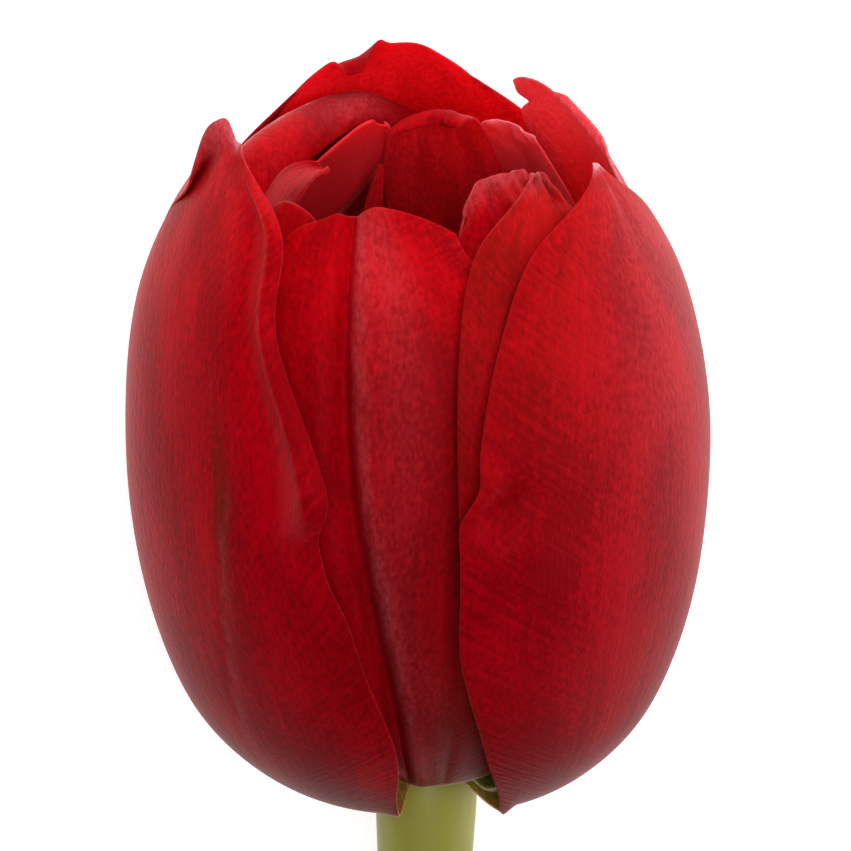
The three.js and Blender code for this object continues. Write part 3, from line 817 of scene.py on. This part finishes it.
def stalk_matter(name, light, dark, roughness):
    """Green stalk under its thin wax, uneven along its length, with fine ribs. It is juicy, so
    light goes a little way into it."""
    material, tree, shader = new_material(name)
    add = partial(add_node, tree)
    place = add("ShaderNodeTexCoord").outputs["Object"]
    patterns = []
    for scale, detail in ((STALK_RIBS, 3.0), (STALK_CLOUDS, 2.0)):
        stretched = add("ShaderNodeMapping", {"Vector": place, "Scale": scale}).outputs["Vector"]
        noise_inputs = {"Vector": stretched, "Scale": 1.0, "Detail": detail}
        patterns.append(add("ShaderNodeTexNoise", noise_inputs).outputs["Fac"])
    ribs, clouds = patterns
    shade = add("ShaderNodeValToRGB", {"Fac": clouds}, [(0.3, dark), (0.7, light)])
    bumps = add("ShaderNodeBump", {"Height": ribs, "Strength": 0.4, "Distance": 0.15 * MM})
    tree.links.new(shade.outputs["Color"], shader.inputs["Base Color"])
    tree.links.new(bumps.outputs["Normal"], shader.inputs["Normal"])
    shader.inputs["Roughness"].default_value = roughness
    shader.inputs["Specular IOR Level"].default_value = 0.35
    shader.inputs["Subsurface Weight"].default_value = 0.2
    shader.inputs["Subsurface Radius"].default_value = (0.6, 1.0, 0.3)
    shader.inputs["Subsurface Scale"].default_value = 1.0 * MM
    return material


STALK = stalk_matter("waxy green stalk", "#9b9740", "#87842f", roughness=0.45)
PITH = stalk_matter("cut stalk, moist pith", "#c4cc8c", "#a8b46c", roughness=0.3)
print("finishes of the stalk:", STALK.name, "and", PITH.name)

# %% Helper for bodies of revolution
AXIS = (0, 1, 0)


def spun(outline, sides):
    """A closed body round the +Y axis. Its (radius, height) pairs, in mm, start and end on the
    axis, or end where they started."""
    shape = bmesh.new()
    line = [shape.verts.new((radius, height, 0)) for radius, height in outline]
    edges = [shape.edges.new(pair) for pair in zip(line, line[1:])]
    bmesh.ops.spin(
        shape, geom=line + edges, cent=(0, 0, 0), axis=AXIS, angle=2 * math.pi, steps=sides,
        use_merge=True,
    )
    bmesh.ops.remove_doubles(shape, verts=shape.verts, dist=0.001)
    bmesh.ops.recalc_face_normals(shape, faces=shape.faces)
    return shape


print("axis of the spun bodies:", AXIS)

# %% Sizes of the stalk
STALK_LENGTH = 108.2
STALK_RADIUS = 4.2
NECK_RADIUS = 4.6  # just under the petals
CUT_SLANT = math.radians(8)  # how far the cut leans from square
PITH_HOLLOW = 0.5  # how far the cut's middle has dried in
PALE_BELOW = 0.3  # height over the cut's rim up to which its face is pale, green further in
SWAY = 5.5  # how far the stalk bends sideways over its length
ARCH = 2.2  # how far its middle stands above the straight line
RIBS_ROUND = 9
RIB_HEIGHT = 0.05
RECEPTACLE_HEIGHT = 12
SEAT_GAP = 0.3  # between the petals' feet and the receptacle


def receptacle_radius(height):
    share = height / RECEPTACLE_HEIGHT
    foot = mix(OUTER_SHELL["radius"][0], HEART_SHELL["radius"][0], share)
    return foot - BLADE / 2 - SEAT_GAP


print("thickness of the stalk in mm:", 2 * STALK_RADIUS)

# %% The stalk
cut_rim = [(0, PITH_HOLLOW), (2.6, 0.35), (3.4, 0.05)]
cut_rim += [(STALK_RADIUS - 0.3, 0), (STALK_RADIUS - 0.02, 0.15)]
column = [(STALK_RADIUS, height) for height in (0.6, 1.5, *range(4, 99, 3))]
outline = [(radius, height - STALK_LENGTH) for radius, height in cut_rim + column]
outline += [(mix(STALK_RADIUS, NECK_RADIUS, 0.5), -7.5), (NECK_RADIUS, -4), (NECK_RADIUS, -2.2)]
outline += [(receptacle_radius(0), -0.8)]
outline += [(receptacle_radius(height), height) for height in (2, 4, 6, 8, 10, 11.2)]
outline += [(receptacle_radius(RECEPTACLE_HEIGHT) - 0.8, 12), (1.4, 12.1), (0, 12.1)]

stalk = spun(outline, 40)
cut_ring = [face for face in stalk.faces if face.calc_center_median().y < PALE_BELOW - STALK_LENGTH]
for face in cut_ring:
    face.material_index = 1
for vert in stalk.verts:
    point = vert.co.copy()
    below = max(-point.y, 0) / STALK_LENGTH
    around = math.atan2(point.x, point.z)
    rib = RIB_HEIGHT * math.sin(RIBS_ROUND * around + 2 * below) * ramp_up(0.1, 0.3, below)
    point.x += rib * math.sin(around) + FOOT_SHIFT - SWAY * below**1.5
    point.y += vert.co.z * math.tan(CUT_SLANT) * ramp_up(0.95, 1, below)
    point.z += rib * math.cos(around) + ARCH * math.sin(math.pi * below) * below
    vert.co = bloom_to_part @ point
claim(new_piece(stalk, "stalk", (STALK, PITH)), "stem")
print("stalk rings:", len(outline), "faces of the cut's pale ring:", len(cut_ring))

# %% [markdown]
# ## The pistil and the stamens
# Deep inside stand a pale green ovary with a crown of three crumpled lobes, the stigma, and six
# stamens: thin threads, each with a long dusty anther of two halves. The ovary is spun like the
# stalk and then pressed to three sides. One stamen is spun, its anther gets a groove along both
# flat faces, and its copies are turned round the axis.

# %% Material of the ovary


def pistil_matter(name):
    """Waxy ovary, cream at its foot and yellow-green above, with a downy pale stigma."""
    material, tree, shader = new_material(name)
    add = partial(add_node, tree)
    place = add("ShaderNodeAttribute", attribute_name="growth").outputs["Fac"]
    shades = [
        (0.0, "#d8d494"), (0.3, "#b9c070"), (0.8, "#c3c67e"), (0.9, "#e4dba2"), (1.0, "#efe6bc"),
    ]
    shade = add("ShaderNodeValToRGB", {"Fac": place}, shades)
    tree.links.new(shade.outputs["Color"], shader.inputs["Base Color"])
    shader.inputs["Roughness"].default_value = 0.5
    shader.inputs["Subsurface Weight"].default_value = 0.3
    shader.inputs["Subsurface Scale"].default_value = 1.0 * MM
    return material


OVARY = pistil_matter("waxy ovary with downy stigma")
print("finish of the pistil:", OVARY.name)

# %% Material of the stamens
POLLEN = 2500.0  # to the metre: clumps of 0.4 mm, because single grains can't be seen


def stamen_matter(name):
    """Pale thread below, and above it an anther black with dusty purple pollen."""
    material, tree, shader = new_material(name)
    add = partial(add_node, tree)
    place = add("ShaderNodeAttribute", attribute_name="growth").outputs["Fac"]
    shades = [(0.0, "#d6cc84"), (0.3, "#8c7a4a"), (0.42, "#3a2434"), (0.5, "#2a1a2b")]
    shade = add("ShaderNodeValToRGB", {"Fac": place}, shades)
    solid = add("ShaderNodeTexCoord").outputs["Object"]
    dust = {"Vector": solid, "Scale": POLLEN, "Detail": 2.0}
    dust = add("ShaderNodeTexNoise", dust).outputs["Fac"]
    bumps = add("ShaderNodeBump", {"Height": dust, "Strength": 0.6, "Distance": 0.1 * MM})
    tree.links.new(shade.outputs["Color"], shader.inputs["Base Color"])
    tree.links.new(bumps.outputs["Normal"], shader.inputs["Normal"])
    shader.inputs["Roughness"].default_value = 0.85
    return material


STAMEN = stamen_matter("stamen, pale thread and dusty dark anther")
print("finish of the stamens:", STAMEN.name)

# %% The pistil
PISTIL_FOOT = RECEPTACLE_HEIGHT + SEAT_GAP
PISTIL_TOP = 20.1  # above its foot
OVARY_SIDES = 0.08  # how far the ovary is pressed to three sides, as a share of its radius
STIGMA_LOBES = 0.35  # the same for the stigma
STIGMA_CRUMPLE = 0.35  # depth of the stigma's crumples
pistil_outline = [
    (0, 0), (2.0, 0), (2.35, 0.8), (2.5, 2), (2.55, 5), (2.5, 9.5), (2.3, 13), (2.05, 15.4),
    (2.1, 16.6), (2.9, 17.8), (3.6, 18.5), (4.0, 19.2), (3.9, 19.9), (3.3, PISTIL_TOP),
    (2.0, 19.9), (0, 19.5),
]
pistil = spun([(radius, PISTIL_FOOT + height) for radius, height in pistil_outline], 48)
growth = pistil.verts.layers.float.new("growth")
for vert in pistil.verts:
    radius, around = math.hypot(vert.co.x, vert.co.z), math.atan2(vert.co.x, vert.co.z)
    vert[growth] = (vert.co.y - PISTIL_FOOT) / PISTIL_TOP
    top = ramp_up(0.8, 0.97, vert[growth])
    lobes = 1 + mix(OVARY_SIDES, STIGMA_LOBES, top) * (math.cos(3 * around) - 0.4 * top)
    crumple = STIGMA_CRUMPLE * top * ramp_up(1, 3, radius) * math.sin(15 * around)
    point = Vector((vert.co.x * lobes + FOOT_SHIFT, vert.co.y - abs(crumple), vert.co.z * lobes))
    vert.co = bloom_to_part @ point
print("faces of the pistil:", len(pistil.faces))
claim(new_piece(pistil, "ovary_and_stigma", [OVARY]), "pistil")

# %% The stamens
STAMENS = 6
STAMEN_REACH = 21  # above the pistil's foot
STAMEN_LIFT = 0.4  # of their feet, which stand in a ring
STAMEN_CIRCLE = 4.0
STAMEN_LEAN = math.radians(7)
ANTHER_RADIUS = 1.1
ANTHER_FROM = 8
stamen_outline = [
    (0, 0), (0.8, 0), (0.75, 1), (0.6, 5), (0.42, 7.6), (0.5, ANTHER_FROM), (0.85, 8.4),
    (1.08, 10), (ANTHER_RADIUS, 12.2), (1.05, 15), (0.92, 17.4), (0.6, 19.4), (0.25, 20), (0, 20),
]
stamens = spun(stamen_outline, 20)
for vert in stamens.verts:
    groove = ramp_up(ANTHER_FROM, 9, vert.co.y) * bump(0, 0.5, vert.co.z / ANTHER_RADIUS)
    vert.co.x *= 0.75 - 0.25 * groove
print("faces of one stamen:", len(stamens.faces))
first = list(stamens.verts) + list(stamens.edges) + list(stamens.faces)
foot = Matrix.Translation((0, PISTIL_FOOT + STAMEN_LIFT, STAMEN_CIRCLE))
for k in range(STAMENS):
    made = bmesh.ops.duplicate(stamens, geom=first)["geom"]
    verts = [item for item in made if isinstance(item, bmesh.types.BMVert)]
    turn = Matrix.Rotation(math.radians(360 / STAMENS * k + 30), 4, "Y")
    lean = Matrix.Rotation(STAMEN_LEAN, 4, "X")
    bmesh.ops.transform(stamens, matrix=turn @ foot @ lean, verts=verts)
bmesh.ops.delete(stamens, geom=first, context="VERTS")
growth = stamens.verts.layers.float.new("growth")
for vert in stamens.verts:
    vert[growth] = (vert.co.y - PISTIL_FOOT) / STAMEN_REACH
    vert.co = bloom_to_part @ (vert.co + Vector((FOOT_SHIFT, 0, 0)))
claim(new_piece(stamens, "six_stamens", [STAMEN]), "stamens")

# %% The ring that the stamens stand on
BULGES_REACH = 2.75  # how far the ovary's three bulges reach, which the ring stays clear of
ring_inner = BULGES_REACH + SEAT_GAP
ring_outer = STAMEN_CIRCLE + 0.8
ring_outline = [
    (ring_inner, 0.2), (ring_inner + 0.2, 0), (ring_outer - 0.2, 0), (ring_outer, 0.2),
    (ring_outer, 0.9), (ring_outer - 0.3, 1.2), (ring_inner + 0.3, 1.2), (ring_inner, 0.9),
    (ring_inner, 0.2),
]
ring = spun([(radius, PISTIL_FOOT + height) for radius, height in ring_outline], 48)
for vert in ring.verts:
    vert.co = bloom_to_part @ (vert.co + Vector((FOOT_SHIFT, 0, 0)))
print("faces of the ring:", len(ring.faces))
claim(new_piece(ring, "stamen_ring", [STAMEN]), "stamens")
